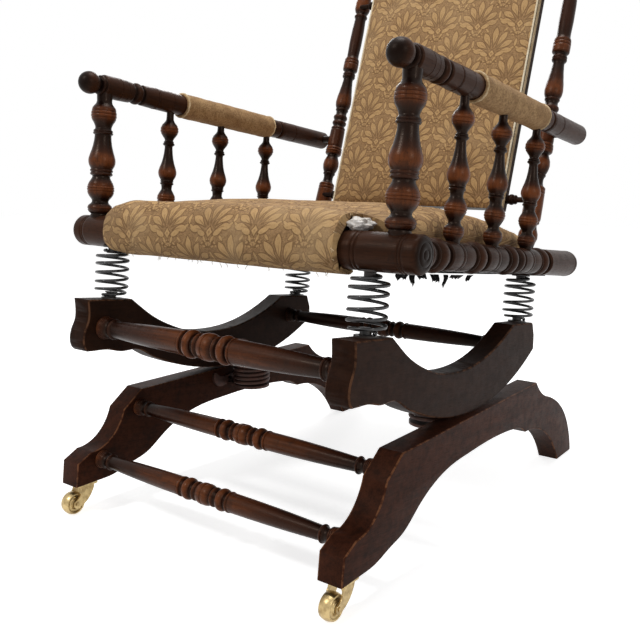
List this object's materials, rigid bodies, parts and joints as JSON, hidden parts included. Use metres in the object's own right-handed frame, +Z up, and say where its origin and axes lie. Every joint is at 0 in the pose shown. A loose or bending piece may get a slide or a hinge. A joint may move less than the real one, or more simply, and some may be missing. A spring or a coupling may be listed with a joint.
{
  "type": "platform rocker",
  "caption": "Turned-wood armchair on short rockers and coil springs, rocking on a fixed base with arched sides and small front wheels; fabric seat, back and arm pads.",
  "frame": {"origin": "on the floor, below the centre of the whole chair's bounding box", "axes": "+X towards the sitter's left, the sitter faces -Y, +Z up"},
  "size_m": [0.6296, 0.8415, 1.0478],
  "materials": {
    "steel_screw": "satin",
    "castor_brass": "worn satin",
    "bracket_iron": "dull",
    "spool_iron": "dull black",
    "black_spring": "black enamel",
    "platform_spring": "dark red-brown, dull",
    "tan_jacquard": "woven figured cotton",
    "backing_cloth": "plain weave",
    "wadding": "loose cotton",
    "black_cloth": "plain weave",
    "base_mahogany": "worn polish",
    "dark_mahogany": "French polish"
  },
  "bodies": {
    "base": {"base_lower_stretcher": "base_mahogany", "base_screws": "steel_screw", "base_side_left": "base_mahogany", "base_side_right": "base_mahogany", "base_spring_bracket_left": "bracket_iron", "base_spring_bracket_right": "bracket_iron", "base_upper_stretcher": "base_mahogany", "castor_plate_left": "castor_brass", "castor_plate_right": "castor_brass", "platform_spring_left": "platform_spring", "platform_spring_right": "platform_spring"},
    "castor_left": {"castor_fork_left": "castor_brass", "castor_axle_left": "castor_brass"},
    "wheel_left": {"castor_wheel_left": "castor_brass"},
    "castor_right": {"castor_fork_right": "castor_brass", "castor_axle_right": "castor_brass"},
    "wheel_right": {"castor_wheel_right": "castor_brass"},
    "rocker": {"lower_spring_spools": "spool_iron", "rocker_bracket_screws": "steel_screw", "rocker_front_stretcher": "dark_mahogany", "rocker_rear_stretcher": "dark_mahogany", "rocker_side_left": "dark_mahogany", "rocker_side_right": "dark_mahogany", "rocker_spring_bracket_left": "bracket_iron", "rocker_spring_bracket_right": "bracket_iron", "seat_spring_front_left": "black_spring", "seat_spring_front_right": "black_spring", "seat_spring_rear_left": "black_spring", "seat_spring_rear_right": "black_spring"},
    "seat": {"arm_dowels": "dark_mahogany", "arm_left": "dark_mahogany", "arm_pad_left": "tan_jacquard", "arm_pad_right": "tan_jacquard", "arm_right": "dark_mahogany", "back_cloth": "backing_cloth", "back_frame_bottom": "dark_mahogany", "back_frame_top": "dark_mahogany", "back_pad": "tan_jacquard", "back_post_left": "dark_mahogany", "back_post_right": "dark_mahogany", "back_stile_left": "dark_mahogany", "back_stile_right": "dark_mahogany", "back_stubs": "dark_mahogany", "bottom_cloth": "black_cloth", "crest_rail": "dark_mahogany", "front_post_left": "dark_mahogany", "front_post_right": "dark_mahogany", "front_rail": "dark_mahogany", "rear_rail": "dark_mahogany", "seat_pad": "tan_jacquard", "seat_wadding": "wadding", "side_rail_left": "dark_mahogany", "side_rail_right": "dark_mahogany", "spindle_front_left": "dark_mahogany", "spindle_front_right": "dark_mahogany", "spindle_middle_left": "dark_mahogany", "spindle_middle_right": "dark_mahogany", "spindle_rear_left": "dark_mahogany", "spindle_rear_right": "dark_mahogany", "upper_spring_spools": "spool_iron"}
  },
  "joints": [
    {"name": "castor_swivel_left", "type": "hinge", "parent": "base", "child": "castor_left", "pos_m": [0.251, -0.3807, 0.0455], "axis": [0, 0, 1], "continuous": true},
    {"name": "castor_roll_left", "type": "hinge", "parent": "castor_left", "child": "wheel_left", "pos_m": [0.251, -0.4027, 0.018], "axis": [1, 0, 0], "continuous": true},
    {"name": "castor_swivel_right", "type": "hinge", "parent": "base", "child": "castor_right", "pos_m": [-0.251, -0.3807, 0.0455], "axis": [0, 0, 1], "continuous": true},
    {"name": "castor_roll_right", "type": "hinge", "parent": "castor_right", "child": "wheel_right", "pos_m": [-0.251, -0.4027, 0.018], "axis": [1, 0, 0], "continuous": true},
    {"name": "rock", "type": "hinge", "parent": "base", "child": "rocker", "pos_m": [0, -0.0427, 0.182], "axis": [-1, 0, 0], "range_deg": [-6, 6], "stiffness_Nm_per_rad": 220, "deforming": ["platform_spring_left", "platform_spring_right"]},
    {"name": "seat_bounce", "type": "slide", "parent": "rocker", "child": "seat", "axis": [0, 0, 1], "range_m": [-0.03, 0], "stiffness_N_per_m": 12000, "springref_m": 0.012, "deforming": ["seat_spring_front_left", "seat_spring_front_right", "seat_spring_rear_left", "seat_spring_rear_right"]}
  ]
}
